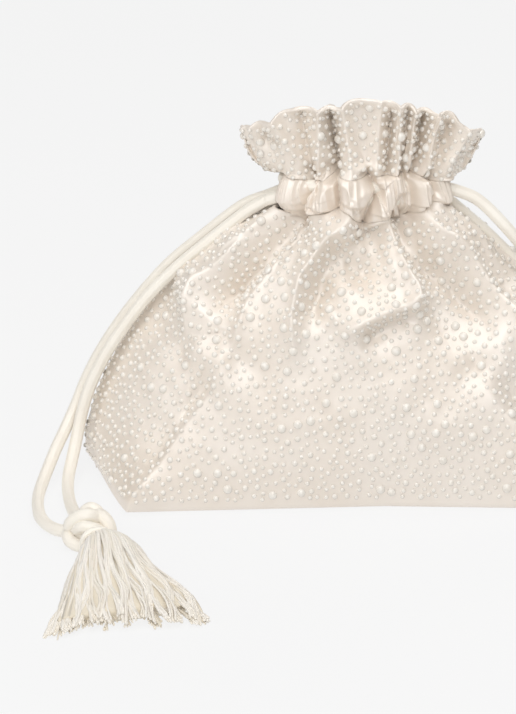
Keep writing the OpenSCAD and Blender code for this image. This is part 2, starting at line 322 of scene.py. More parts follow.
def tube(line, radius, sides, ribs=0, rib_depth=0.0, flat=1.0):
    """Points and faces of a tube with closed, rounded ends. radius is a number or one for each point,
    ribs are lengthwise ridges, and flat squeezes the tube across"""
    along, across, third = line_frames(line)
    radius = np.broadcast_to(np.asarray(radius, float), (len(line),)).copy()
    turn = np.linspace(0, 2 * np.pi, sides, endpoint=False)
    section = 1 + rib_depth * np.cos(ribs * turn)
    offset = (across[:, None] * (flat * np.cos(turn) * section)[None, :, None]
              + third[:, None] * (np.sin(turn) * section)[None, :, None])
    rings = line[:, None] + radius[:, None, None] * offset
    start, stop = (
        [line[end] + sign * along[end] * radius[end] * 0.4 * rise + (rings[end] - line[end]) * wide
         for rise, wide in ((0.7, 0.75), (1.0, 0.3))]
        for end, sign in ((0, -1), (-1, 1))
    )
    grid = np.stack([start[1], start[0], *rings, stop[0], stop[1]])
    verts = grid.reshape(-1, 3)
    faces = grid_faces(len(grid), sides, around=True)[:, ::-1].tolist()
    faces.append(list(range(sides)))
    faces.append(list(range(len(verts) - 1, len(verts) - sides - 1, -1)))
    return verts, faces


def joined(parts):
    """Several lists of points and faces as one"""
    verts = []
    faces = []
    first = 0
    for part_verts, part_faces in parts:
        verts.append(part_verts)
        faces.extend([[first + i for i in face] for face in part_faces])
        first += len(part_verts)
    return np.vstack(verts), faces


def value_noise(x, y, cell, seed):
    """Smooth noise from -1 to 1 over two arrays of coordinates, with features of about one cell"""
    size = 64
    table = np.random.default_rng(seed).uniform(-1, 1, (size, size))
    u = np.asarray(x) / cell
    v = np.asarray(y) / cell
    i = np.floor(u).astype(int)
    j = np.floor(v).astype(int)
    right = ease(u - i)
    up = ease(v - j)

    def row(step):
        here = table[i % size, (j + step) % size]
        beside = table[(i + 1) % size, (j + step) % size]
        return here * (1 - right) + beside * right

    return row(0) * (1 - up) + row(1) * up


# ---------------------------------------------------------------- floor

floor_size = 6000
floor_steps = 12
spread = np.linspace(-floor_size / 2, floor_size / 2, floor_steps + 1)
floor_x, floor_y = np.meshgrid(spread, spread)
floor_points = np.stack([floor_x, floor_y, np.zeros_like(floor_x)], -1).reshape(-1, 3)
floor = make_piece("floor", floor_points, grid_faces(floor_steps + 1, floor_steps + 1).tolist(),
                   floor_material())

# ---------------------------------------------------------------- drawstrings

CORD_D = 5.5
CORD_SECTION = {"sides": 32, "ribs": 8, "rib_depth": 0.035}
# Each drawstring's height in the channel, and its loop's half width and depth, middle and degrees
CHANNEL_HEIGHT = {"left": 134.5, "right": 140.5}
LOOP_REACH = (31, 12.5)
LOOP_CENTRE = 3.0
LOOP_TURNS = range(25, 336, 31)
# The routes of the left strands, from the knot to the neck, as in part.scad
STRAND_ROUTES = {
    "front": [
        (-119, -81.5, 7), (-121.5, -74.5, 5.2), (-124.5, -66, 4), (-127, -57, 3.4), (-129, -48, 3.3),
        (-130.5, -38, 3.8), (-131, -29, 6), (-130, -20.5, 11), (-128.5, -13.5, 18), (-126.5, -9, 28),
        (-122.5, -7, 41), (-115.5, -6.5, 56), (-106, -6, 71), (-95, -6, 86), (-81.5, -6, 100),
        (-66, -5.5, 113.5), (-51, -4, 125.5),
    ],
    "back": [
        (-124.5, -87.5, 5.8), (-130.5, -83, 4.2), (-136, -76, 3.4), (-140, -67.5, 3.3),
        (-142, -58, 3.3), (-143, -48, 3.6), (-142.5, -38, 5), (-140.5, -28, 9), (-137.5, -18.5, 15),
        (-133.5, -9, 22), (-129.5, -2, 30), (-125, 1.5, 41), (-118.5, 3, 54), (-109.5, 3.5, 68.5),
        (-98.5, 3.5, 83.5), (-85.5, 3.5, 98.5), (-69.5, 3.5, 112.5), (-53, 3.3, 126),
    ],
}
STRAND_EXIT = {
    ("left", "front"): (-42, -3.1, 131), ("left", "back"): (-42, 3.1, 131),
    ("right", "front"): (-42, -3.1, 137), ("right", "back"): (-41, 3.1, 129),
}
# Near the neck, the right front strand arches clear of the bag and the right back one lies against it
RIGHT_NECK = {
    "front": [(-95, -6, 86.5), (-81.5, -6, 101.5), (-66, -5.5, 120), (-53, -4, 132.5)],
    "back": [(-97.5, 4, 82), (-83.5, 5.5, 92), (-69.5, 6.5, 102), (-55.5, 6, 115.5)],
}
KNOT = {"left": np.array([-115, -90, 9.2]), "right": np.array([115, -90, 9.2])}
MIRROR = {"left": 1, "right": -1}


def mirrored(points, side):
    """Points given for the left side, on the side asked for"""
    return np.asarray(points, float) * [MIRROR[side], 1, 1]


def cord_tone(verts):
    """A light tone that wanders a little from place to place"""
    return np.clip(0.8 + 0.15 * value_noise(verts[:, 0], verts[:, 2], 9, 5), 0, 1)


def make_strand(side, which):
    """One free strand: its piece, its line from the neck to the knot, and its length"""
    route = list(STRAND_ROUTES[which])
    if side == "right":
        route[-len(RIGHT_NECK[which]):] = RIGHT_NECK[which]
    route = mirrored([STRAND_EXIT[side, which], *route[::-1]], side)
    line = even_line(smooth_line(route), 1.2)
    verts, faces = tube(line, CORD_D / 2, **CORD_SECTION)
    strand = make_piece(f"{side}_{which}_cord", verts, faces, cord_satin, tone=cord_tone(verts))
    length = np.linalg.norm(np.diff(line, axis=0), axis=1).sum()
    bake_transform(strand)
    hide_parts(f"{side}_strand_{which}")
    return strand, line, float(length)


def make_channel_cord(side):
    """The part of the drawstring inside the casing, in two halves, one for the front wall and one for the
    back
    """
    inside = CHANNEL_HEIGHT[side]
    turns = np.radians([float(t) for t in LOOP_TURNS])
    centre = -LOOP_CENTRE * MIRROR[side]
    ring = [(centre - LOOP_REACH[0] * np.cos(t), -LOOP_REACH[1] * np.sin(t), inside) for t in turns]
    route = [STRAND_EXIT[side, "front"], *ring, STRAND_EXIT[side, "back"]]
    line = even_line(smooth_line(mirrored(route, side)), 1.5)
    middle = len(line) // 2
    for wall, part in (("front", line[:middle + 1]), ("back", line[middle:])):
        verts, faces = tube(part, CORD_D / 2, **CORD_SECTION)
        cord = make_piece(f"{side}_channel_cord_{wall}", verts, faces, cord_satin,
                          tone=cord_tone(verts))
        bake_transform(cord)
        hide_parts(f"{side}_drawstring")


for side in ("left", "right"):
    make_channel_cord(side)
    for which in ("front", "back"):
        make_strand(side, which)

# ---------------------------------------------------------------- the shape of the cloth

# Each half is made as a front. mirror is 1 for the front and -1 for the back, which has the front's
# folds as seen from behind
BODY_TOP = 126
# Half width and half depth of the body at each height, as in part.scad
SIDE = np.array([(0, 122), (8, 126), (18, 125.5), (30, 122), (44, 117), (58, 110), (72, 101),
                 (85, 91.5), (97, 80), (107, 69), (115, 58), (121, 47), (126, 40)])
# The right side falls in more steeply to the neck
SLIM_SIDE = np.array([(0, 122), (8, 126), (18, 125.5), (30, 122), (44, 116), (58, 107), (72, 96),
                      (85, 84), (97, 71.5), (107, 60.5), (115, 51), (121, 44.5), (126, 39.5)])
DEPTH = np.array([(0, 45), (8, 46.5), (18, 47.5), (30, 48), (44, 48), (58, 46), (72, 43), (85, 39),
                  (97, 35), (107, 30.5), (115, 26), (121, 20.5), (126, 16.5)])
# How far the plan has turned from creased, 0, to oval, 1, at each height
ROUND = np.array([(0, 0), (20, 0.12), (60, 0.4), (95, 0.8), (115, 1)])
# Where the front face turns into each side: height and distance from the middle
LEFT_TURN = np.array([(0, 103), (16, 92), (34, 80), (56, 68), (70, 57), (94, 43), (126, 30)])
RIGHT_TURN = np.array([(0, 104), (20, 88), (40, 72), (61, 55), (77, 44), (94, 36), (126, 28)])
# The share of the columns that the front face takes up
TURN_AT = 0.62
# The seam between body and casing, and the seam between casing and ruffle: height at each x
LOW_SEAM = np.array([(-38, 129), (-34, 130), (-30, 127), (-26, 124), (-22, 128), (-14, 131),
                     (-7, 133), (-3, 132), (1, 124.5), (6, 126.5), (13, 128), (18, 127.5),
                     (24, 126.5), (28, 131), (33, 134), (38, 130), (42, 129)])
HIGH_SEAM = np.array([(-36, 142.5), (-30, 145), (-21, 143), (-15, 144), (-11, 148), (-2, 146.5),
                      (9, 146.5), (24, 147), (31, 142.5), (37, 143), (42, 142.5)])
# Plan of each seam: its middle, half width and half depth
LOW_SEAM_PLAN = (2, 37.5, 16.5)
HIGH_SEAM_PLAN = (2.5, 35.5, 13)
# The ruffle's folded rim: half width, how far its middle bows out and drops by mirror, and height at x
RIM_HALF_WIDTH = 53.5
RIM_BOW = {1: 13, -1: 5}
RIM_DROP = {1: 0, -1: 14}
RIM = np.array([(-54, 164), (-47, 168), (-41, 171), (-36, 174), (-30, 176), (-25, 177), (-17, 178),
                (-11, 178), (-6, 180.5), (0, 182), (8, 181.5), (16, 181), (21, 180), (24, 177.5),
                (29, 176.5), (34, 177), (40, 175), (43, 171), (49, 167.5), (54, 164)])
# Points across each half of the bag, and up its body, casing and ruffle
COLUMNS = 400
BODY_ROWS = 121
CASING_ROWS = 64
RUFFLE_ROWS = 70
# How strongly the lists of folds below are applied
BODY_FOLDING = 1.6
CASING_FOLDING = 1.3
RUFFLE_FOLDING = 1.45
# A ridge this high or more, and sharper than this, has a crest this wide and of this share of its height
CREST_FROM = 3
CREST_SHARP = 1.3
CREST_WIDTH = 1.6
CREST_SHARE = 0.28


def looked_up(table, at, soften=1.0):
    """The table's value at each place, softened over a few millimetres"""
    steps = np.linspace(-1.5, 1.5, 7)
    weights = np.exp(-steps**2)
    values = sum(w * np.interp(at + soften * s, table[:, 0], table[:, 1])
                 for s, w in zip(steps, weights))
    return values / weights.sum()


def stroke(x, z, line, left, right, soft, fade):
    """How near each point (x, z) is to a line of points: 1 on it, falling off over left or right
    millimetres to each side as seen going along it. soft rounds the top and fade tapers the ends"""
    p = np.array(line, float)
    spans = np.diff(p, axis=0)
    lengths = np.linalg.norm(spans, axis=1)
    total = lengths.sum()
    best = np.full(x.shape, np.inf)
    side = np.zeros(x.shape)
    along = np.zeros(x.shape)
    done = 0.0
    for start, span, length in zip(p[:-1], spans, lengths):
        dx = x - start[0]
        dz = z - start[1]
        t = np.clip((dx * span[0] + dz * span[1]) / length**2, 0, 1)
        ex = dx - t * span[0]
        ez = dz - t * span[1]
        far = np.hypot(ex, ez)
        nearer = far < best
        best = np.where(nearer, far, best)
        side = np.where(nearer, span[0] * ez - span[1] * ex, side)
        along = np.where(nearer, (done + t * length) / total, along)
        done += length
    width = np.where(side > 0, left, right)
    weight = np.exp(-(np.sqrt(best**2 + soft**2) - soft) / width)
    start_fade = ease(along / fade[0]) if fade[0] > 0 else 1
    end_fade = ease((1 - along) / fade[1]) if fade[1] > 0 else 1
    return weight * start_fade * end_fade


def folded(x, z, strokes):
    """The sum of a list of strokes, each with its height in millimetres first. A strong, sharp ridge
    has a narrow crest along its top as well"""
    total = np.zeros(x.shape)
    for height, line, left, right, soft, fade in strokes:
        total += height * stroke(x, z, line, left, right, soft, fade)
        if height >= CREST_FROM and soft < CREST_SHARP:
            crest = stroke(x, z, line, CREST_WIDTH, CREST_WIDTH, 0.35, (0.1, 0.3))
            total += CREST_SHARE * height * crest
    return total


def softened(field, times):
    """A field smoothed over its neighbours in the grid"""
    for _ in range(times):
        field = np.pad(field, 1, mode="edge")
        field = (field[1:-1, 1:-1] * 2 + field[:-2, 1:-1] + field[2:, 1:-1]
                 + field[1:-1, :-2] + field[1:-1, 2:]) / 6
    return field


# Folds of the front, from the neck down: height of the fold, points (x, z), how wide it falls off
# on each side going along it, how round its top is, and how much of each end tapers
BODY_FOLDS = [
    # the ridge down the middle and the hollow to its right
    (5.0, [(-3, 130), (-12, 122), (-25, 104), (-28, 90), (-28, 78), (-27, 64)], 4, 10, 0.8, (0, 0.35)),
    (-4.0, [(-5, 122), (-16, 106), (-20, 92), (-18, 80)], 6, 4, 3, (0.2, 0.3)),
    # the pouch of cloth right of the middle, its overhanging lower edge and the hollow inside it
    (5.5, [(12, 129), (19, 113), (26, 102), (27, 97), (22, 93), (14, 91), (4, 87), (-4, 83), (-13, 79)],
     3, 10, 0.9, (0, 0.2)),
    (-3.5, [(27, 92), (20, 88), (10, 84), (-1, 77)], 4, 5, 2, (0.2, 0.3)),
    (-5.0, [(3, 124), (6, 116), (1, 106), (-4, 98)], 8, 7, 4, (0.1, 0.4)),
    (2.0, [(-18, 97), (-13, 91), (-8, 85)], 2, 6, 0.5, (0.3, 0.3)),
    # the deep valley to its right, then two ridges with a valley between them
    (-9.0, [(19, 126), (21, 119), (28, 111), (45, 101), (56, 88), (64, 74)], 6, 7, 3, (0, 0.35)),
    (5.5, [(26, 130), (40, 119), (52, 106), (71, 80), (86, 54)], 6, 7, 0.9, (0, 0.4)),
    (-4.0, [(37, 126), (50, 114), (66, 96), (80, 76)], 5, 5, 2, (0, 0.4)),
    (4.5, [(40, 128), (52, 116), (71, 100), (90, 76)], 6, 5, 1.0, (0, 0.4)),
    (-4.5, [(29, 99), (33, 91), (43, 78), (52, 66), (63, 50)], 6, 7, 3, (0.2, 0.35)),
    # the left side: a ridge, the deep valley beside it and the edge of the middle panel
    (5.5, [(-34, 128), (-48, 117), (-60, 105), (-70, 96), (-74, 85), (-76, 76), (-71, 69)],
     7, 8, 1.2, (0, 0.3)),
    (-10.5, [(-28, 122), (-34, 117), (-43, 112), (-51, 104), (-59, 95), (-66, 83)], 6, 6, 3, (0, 0.3)),
    (3.5, [(-25, 129), (-34, 113), (-49, 92), (-53, 78), (-57, 68)], 10, 4, 0.8, (0, 0.2)),
    (3.0, [(-77, 74), (-71, 70), (-61, 68), (-54, 74)], 5, 5, 2, (0.3, 0.3)),
    (-2.5, [(-84, 98), (-90, 84), (-93, 66)], 8, 8, 4, (0.3, 0.3)),
    # the turns from the front face to the sides, with a valley outside each
    (2.5, [(-56, 68), (-67, 53), (-80, 35), (-92, 17), (-102, 2)], 8, 4, 1.2, (0.2, 0)),
    (-4.5, [(-60, 64), (-73, 51), (-87, 33), (-98, 12)], 6, 7, 3, (0.2, 0.3)),
    (2.5, [(37, 88), (43, 77), (55, 60), (72, 40), (88, 20), (103, 2)], 4, 8, 1.2, (0.2, 0)),
    (-3.5, [(60, 66), (74, 50), (89, 32), (99, 12)], 7, 6, 3, (0.2, 0.3)),
]

CASING_FOLDS = [
    # puffs
    (2.5, [(-35, 143), (-33, 137), (-33, 131)], 4, 4, 1.5, (0.2, 0.2)),
    (2.5, [(-27, 146), (-27, 137), (-28, 129)], 3, 3, 1.0, (0.1, 0.1)),
    (2.0, [(-18, 146), (-19, 138), (-21, 131)], 2.5, 2.5, 1.0, (0.1, 0.1)),
    (2.2, [(-13, 145), (-14, 138), (-14, 131)], 2.2, 2.2, 0.8, (0.1, 0.1)),
    (3.5, [(-9, 148), (-4, 144), (-1, 139), (-2, 134)], 3.0, 4.5, 1.2, (0.1, 0.15)),
    (2.8, [(8, 146), (11, 140), (10, 129)], 3.0, 2.5, 1.0, (0.1, 0.1)),
    (1.8, [(15, 147), (16, 140), (14, 131)], 2.2, 2.2, 0.8, (0.1, 0.1)),
    (2.5, [(27, 145), (26, 138), (27, 132)], 3.0, 2.5, 1.0, (0.1, 0.1)),
    (3.5, [(36, 145), (37, 138), (37, 131)], 4, 4, 1.5, (0.15, 0.15)),
    # slits between them
    (-5.0, [(-23, 148), (-20, 141), (-22, 134), (-27, 124)], 1.6, 1.3, 0.4, (0, 0)),
    (-3.5, [(-16, 147), (-17.5, 139), (-21, 129)], 1.4, 1.4, 0.4, (0, 0.2)),
    (-6.0, [(-13, 150), (-9, 143), (-8.5, 136), (-10, 129)], 1.5, 1.8, 0.4, (0, 0.1)),
    (-6.5, [(1, 150), (7.5, 141), (4, 133), (1, 124)], 1.7, 1.5, 0.4, (0.05, 0)),
    (-4.5, [(19, 149), (23, 139), (25, 127)], 1.6, 1.6, 0.4, (0, 0)),
    (-3.0, [(19, 140), (17, 129)], 1.5, 1.5, 0.5, (0.3, 0)),
    (-5.0, [(30, 146), (32, 138), (31, 130)], 1.6, 1.6, 0.4, (0, 0.2)),
]

RUFFLE_FOLDS = [
    (3.0, [(-40, 174), (-31, 160), (-24, 149)], 5, 7, 1.0, (0.05, 0)),
    (-2.0, [(-46, 158), (-40, 161), (-34, 156)], 3, 3, 1.0, (0.3, 0.3)),
    (-4.0, [(-27, 178), (-25, 162), (-21, 147)], 3, 3, 1.0, (0.2, 0)),
    (3.5, [(-19, 182), (-18, 165), (-17, 147)], 3, 3, 0.8, (0, 0)),
    (-7.0, [(-14.5, 180), (-12.5, 165), (-10, 149)], 1.8, 1.8, 0.5, (0.25, 0)),
    (3.0, [(-9, 184), (-6, 166), (-3, 148)], 4, 4, 0.8, (0, 0)),
    (-2.0, [(1, 182), (2, 165), (2, 150)], 5, 5, 3, (0.2, 0.1)),
    (2.5, [(9, 184), (8, 166), (7, 148)], 3, 3, 0.8, (0, 0)),
    (-5.0, [(14, 180), (13, 165), (12, 148)], 1.7, 1.7, 0.5, (0.3, 0)),
    (3.5, [(17, 184), (17, 168), (16, 148)], 2.0, 2.0, 0.5, (0, 0)),
    (-3.5, [(20.5, 181), (19.5, 165), (18, 148)], 1.3, 1.3, 0.4, (0.2, 0)),
    (3.0, [(24.5, 180), (22.5, 166), (20.5, 148)], 2.0, 2.0, 0.5, (0, 0)),
    (-6.0, [(28, 178), (26.5, 164), (24, 147)], 1.8, 1.8, 0.5, (0.25, 0)),
    (3.5, [(35, 180), (31.5, 166), (28, 147)], 3, 3.5, 0.8, (0, 0)),
    (-2.5, [(39, 173), (36, 163), (32, 148)], 2.5, 2.5, 0.8, (0.2, 0)),
    (3.0, [(48, 170), (42, 158), (35, 147)], 4, 4, 0.8, (0, 0)),
]


def columns():
    """Where each column of the grids lies, from -1 at the left seam to 1 at the right seam"""
    return np.linspace(-1, 1, COLUMNS)


def seam_points(s, centre, half_width, half_depth, heights, mirror):
    """The line of a seam round half the neck"""
    across = half_width * np.sin(np.pi / 2 * s)
    y = -half_depth * np.cos(np.pi / 2 * s)
    return np.stack([centre + across, y, looked_up(heights, centre + mirror * across)], -1)


def gathers(s, seed):
    """Uneven small pleats along a seam"""
    warp = s + 0.05 * value_noise(s, 0 * s, 0.21, seed)
    return 0.6 * np.sin(2 * np.pi * 7.5 * warp) + 0.4 * np.sin(2 * np.pi * 13.3 * warp + 1)


def low_seam(mirror):
    return seam_points(columns(), *LOW_SEAM_PLAN, LOW_SEAM, mirror)


def high_seam(mirror):
    return seam_points(columns(), *HIGH_SEAM_PLAN, HIGH_SEAM, mirror)


def outward(s):
    """The level direction out of the neck"""
    out = np.stack([0.8 * np.sin(np.pi / 2 * s), -np.cos(np.pi / 2 * s), 0 * s], -1)
    return out / np.linalg.norm(out, axis=-1, keepdims=True)


def mixed(a, b, weight):
    """Unit directions part way from a to b"""
    both = a * (1 - weight[..., None]) + b * weight[..., None]
    return both / np.linalg.norm(both, axis=-1, keepdims=True)


def soft_normals(grid, times):
    """Normals smoothed over their neighbours, so that sharp turns do not cross over"""
    normals = grid_normals(grid)
    normals = np.stack([softened(normals[..., k], times) for k in range(3)], -1)
    return normals / np.linalg.norm(normals, axis=2, keepdims=True)


def all_folds(grid, mirror):
    """The folds of the whole half, so that a fold runs on from one piece of cloth to the next"""
    x = mirror * grid[..., 0]
    z = grid[..., 2]
    return (BODY_FOLDING * folded(x, z, BODY_FOLDS) + CASING_FOLDING * folded(x, z, CASING_FOLDS)
            + RUFFLE_FOLDING * folded(x, z, RUFFLE_FOLDS))


def body_plan(s, z, mirror):
    """The body without folds: a creased plan low down that turns into an oval at the neck"""
    soften = 2.0 * ease(z / 20)
    half_width = np.where(s < 0, looked_up(SIDE, z, soften), looked_up(SLIM_SIDE, z, soften))
    half_depth = looked_up(DEPTH, z, soften)
    out = np.abs(s)
    turn = np.where(s * mirror < 0, looked_up(LEFT_TURN, z, 3.0), looked_up(RIGHT_TURN, z, 3.0))
    past = np.clip((out - TURN_AT) / (1 - TURN_AT), 0, 1)
    inside = np.minimum(out / TURN_AT, 1)
    creased = np.stack([turn * inside + (half_width - turn) * past, half_depth * (1 - past**1.15)], -1)
    angle = np.pi / 2 * out
    oval = np.stack([half_width * np.sin(angle), half_depth * np.cos(angle)], -1)
    roundness = looked_up(ROUND, z, 2.0)[..., None]
    plan = creased * (1 - roundness) + oval * roundness
    return np.stack([np.sign(s) * plan[..., 0], -plan[..., 1], z], -1)


def body_grid(mirror):
    """The outer face of the front, or of the back as if it were a front"""
    levels = np.linspace(0, BODY_TOP, 400)
    reach = np.cumsum(np.hypot(np.gradient(levels), np.gradient(looked_up(SIDE, levels))))
    heights = np.interp(np.linspace(reach[0], reach[-1], BODY_ROWS), reach, levels)
    s, z = np.meshgrid(columns(), heights)
    grid = body_plan(s, z, mirror)
    # the front edge of the base stands a little forward at its left end
    forward = 0.0021 * np.maximum(18 - mirror * grid[..., 0], 0) * (1 - ease(z / 90))
    grid[..., 1] *= 1 + forward * (1 if mirror == 1 else 0.3)
    # the top of the body is drawn to the seam under the casing
    pull = ease((z - 108) / (BODY_TOP - 108))
    grid = grid + pull[..., None] * (low_seam(mirror)[None] - grid[-1:])
    directions = mixed(soft_normals(grid, 120), outward(s), pull)
    x = grid[..., 0]
    height = grid[..., 2]
    # folds fade out at the side seams and at the hem, with small wrinkles and pleats between them
    seams = ease((1 - np.abs(s)) / (0.10 + 0.12 * pull))
    hem = ease(height / 7)
    wander = 1.2 * value_noise(x, height, 19, 22 + mirror) + 0.5 * value_noise(x, height, 8, 32 + mirror)
    folds = softened(all_folds(grid, mirror), 2) + wander * ease((height - 8) / 40) * (1 - pull)
    pleated = 0.9 * ease((height - 95) / 28) * (1 - pull) * gathers(s, 6 + mirror)
    bulge = 2.0 * np.exp(-((z - 117) / 6) ** 2) * (1 - pull)
    lift = (folds + pleated + bulge) * seams * hem
    return turned_under(grid + directions * lift[..., None])


# Rows of the turn under the base: distance in from it, and degrees round it
UNDER_TURN = [(9, 0), (2, 0), (0, 20), (0, 45), (0, 68)]
TURN_ROWS = len(UNDER_TURN)


def turned_under(grid):
    """Adds a rounded turn from the lowest rows in under the base, except at the side seams"""
    inward = np.zeros((COLUMNS, 3))
    inward[:, 1] = np.abs(columns()) < 0.97
    radius = 2.0
    rows = []
    for reach, turn in UNDER_TURN:
        angle = np.radians(turn)
        row = grid[0] + inward * (reach + radius * (1 - np.sin(angle)))
        row[:, 2] = 0.1 + radius * (1 - np.cos(angle))
        rows.append(row)
    upper = grid[grid[:, 0, 2] > radius]
    return np.concatenate([np.stack(rows), upper])


def casing_grid(mirror):
    """The outer face of half the casing, puffed out between its two seams"""
    v = np.linspace(0, 1, CASING_ROWS)[:, None]
    s = np.broadcast_to(columns()[None], (CASING_ROWS, COLUMNS))
    grid = low_seam(mirror)[None] * (1 - v[..., None]) + high_seam(mirror)[None] * v[..., None]
    ends = ease((1 - np.abs(s)) / 0.45)
    puff = 1.3 * np.sin(np.pi * v) ** 0.7 * (0.35 + 0.65 * ends)
    crinkle = 1.3 * (1 - np.abs(gathers(1.2 * s + 0.05 * v, 14 + mirror))) * np.sin(np.pi * v) ** 0.3
    lift = softened(all_folds(grid, mirror), 1) * ends + crinkle + puff
    return grid + outward(s) * lift[..., None]


def ruffle_grid(mirror):
    """The outer face of half the ruffle, which fans out from the casing to a folded rim"""
    s = columns()
    foot = high_seam(mirror)
    x = RIM_HALF_WIDTH * np.sin(np.pi / 2 * s)
    bowed = np.cos(np.pi / 2 * s) ** 0.8
    rim_height = looked_up(RIM, mirror * x, 0.8) - RIM_DROP[mirror] * bowed
    rim = np.stack([x, -RIM_BOW[mirror] * bowed, rim_height], -1)
    v = np.linspace(0, 1, RUFFLE_ROWS)[:, None]
    open_out = (v ** (0.72 - 0.42 * s**2))[..., None]
    grid = foot[None] * (1 - open_out) + rim[None] * open_out
    grid[..., 2] = foot[None, :, 2] * (1 - v) + rim[None, :, 2] * v
    grid[..., 1] += 2.0 * np.sin(np.pi * v)
    wide = np.broadcast_to(s[None], (RUFFLE_ROWS, COLUMNS))
    directions = mixed(outward(wide), grid_normals(grid), ease(v / 0.35) + 0 * wide)
    ends = ease((1 - np.abs(s)) / 0.35)[None]
    flare = 1.2 * v * np.sin(2 * np.pi * 5.3 * s + 0.7)[None]
    folds = softened(all_folds(grid, mirror), 1) * (1 + 0.15 * v) + flare
    lift = folds * ends + 0.6 * ease(v / 0.2) * value_noise(grid[..., 0], grid[..., 2], 9, 42 + mirror)
    return grid + directions * lift[..., None]


def behind(grid, depth):
    """The grid moved in by depth along its softened normals"""
    return grid - depth * soft_normals(grid, 3)


def as_back(grid):
    """A front grid turned round to the back of the bag, its columns kept running right"""
    return (grid * [1, -1, 1])[:, ::-1]


def hem_over(grid, radius):
    """Rounds the top edge of a grid over and a little way down its inner side"""
    inward = -grid_normals(grid)[-1]
    rows = [grid]
    for turn in np.radians([35, 70, 110, 145]):
        row = grid[-1] + inward * radius * (1 - np.cos(turn))
        row = row + [0, 0, radius * 0.8 * np.sin(turn)]
        rows.append(row[None])
    return np.concatenate(rows)


def facing_grid(ruffle):
    """The inner face of the ruffle, which runs on down through the neck inside the cords"""
    facing = behind(ruffle, 1.7)
    narrow = (0.22 * (1 - np.linspace(0, 1, len(facing)) ** 0.6))[:, None]
    facing[..., 1] *= 1 - 1.6 * narrow
    facing[..., 0] *= 1 - 0.5 * narrow
    facing[..., 2] -= 0.5
    foot = facing[0]
    lower = [foot * [1 + 0.02 * k, 1 + 0.04 * k, 1] - [0, 0, 2.4 * k] for k in range(8, 0, -1)]
    return np.concatenate([np.stack(lower), facing])


def on_wall(piece):
    """Bakes the piece's placement into its mesh, leaving the object at the origin"""
    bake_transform(piece)


# ---------------------------------------------------------------- half pearls

# Diameter in millimetres, share of the pearls asked for that is placed once this size is done, and
# segments round and rings up the dome
PEARL_SIZES = [(4.3, 0.03, 14, 4), (3.0, 0.15, 11, 3), (2.25, 1.0, 9, 3)]
# Least space between two pearls, and the height of a pearl as a share of its radius
PEARL_GAP = 0.85
PEARL_DOME = 0.86
# Pearls asked for on each half of the body and of the ruffle, which is full before that many fit
BODY_PEARLS = 3300
RUFFLE_PEARLS = 560
# Placed pearls are looked up by cell, each wider than two large pearls need between their middles
CELL = 6.5
NEXT_CELLS = [(x, y, z) for x in (-1, 0, 1) for y in (-1, 0, 1) for z in (-1, 0, 1)]


def dome(segments, rings):
    """A half ball of radius 1 that starts a little below its flat side"""
    tilt = np.linspace(-0.12, np.pi / 2, rings + 1)[:-1, None]
    turn = np.linspace(0, 2 * np.pi, segments, endpoint=False)[None]
    level = PEARL_DOME * np.sin(tilt) + 0 * turn
    grid = np.stack([np.cos(tilt) * np.cos(turn), np.cos(tilt) * np.sin(turn), level], -1)
    verts = np.vstack([grid.reshape(-1, 3), [[0, 0, PEARL_DOME]]])
    faces = grid_faces(rings, segments, around=True).tolist()
    last = (rings - 1) * segments
    faces += [[last + k, last + (k + 1) % segments, len(verts) - 1] for k in range(segments)]
    return verts, faces


def is_clear(point, diameter, cell, placed):
    """Whether a pearl at the point would touch none of those placed, which are listed by cell"""
    for step in NEXT_CELLS:
        beside = (cell[0] + step[0], cell[1] + step[1], cell[2] + step[2])
        for other, other_diameter in placed.get(beside, ()):
            gap = (diameter + other_diameter) / 2 + PEARL_GAP
            away = point - other
            if away[0]**2 + away[1]**2 + away[2]**2 < gap * gap:
                return False
    return True


def scattered(grid, count, seed, margin):
    """Places for pearls on a grid, clear of each other and of margin rows at its bottom and top:
    points, normals and size numbers. Large ones are placed first"""
    random = np.random.default_rng(seed)
    normals = grid_normals(grid)
    rows, cols = grid.shape[:2]
    up = grid[1:, :-1] - grid[:-1, :-1]
    right = grid[:-1, 1:] - grid[:-1, :-1]
    areas = np.linalg.norm(np.cross(up, right), axis=2).ravel()
    share = np.cumsum(areas) / areas.sum()
    points = []
    facing = []
    sizes = []
    placed = {}
    smallest = len(PEARL_SIZES) - 1
    for number, (diameter, part, _, _) in enumerate(PEARL_SIZES):
        tries = 60000 if number == smallest else 6000
        wanted = int(count * part)
        picks = np.searchsorted(share, random.random(tries))
        rises = random.random(tries)
        shifts = random.random(tries)
        for pick, rise, shift in zip(picks, rises, shifts):
            i, j = divmod(int(pick), cols - 1)
            if not margin[0] <= i <= rows - 1 - margin[1]:
                continue
            point = (grid[i, j] * (1 - rise) * (1 - shift) + grid[i + 1, j] * rise * (1 - shift)
                     + grid[i, j + 1] * (1 - rise) * shift + grid[i + 1, j + 1] * rise * shift)
            cell = tuple((point // CELL).astype(int))
            if not is_clear(point, diameter, cell, placed):
                continue
            placed.setdefault(cell, []).append((point, diameter))
            points.append(point)
            facing.append(normals[i, j])
            sizes.append(number)
            if len(points) >= wanted:
                break
    return np.array(points), np.array(facing), np.array(sizes)


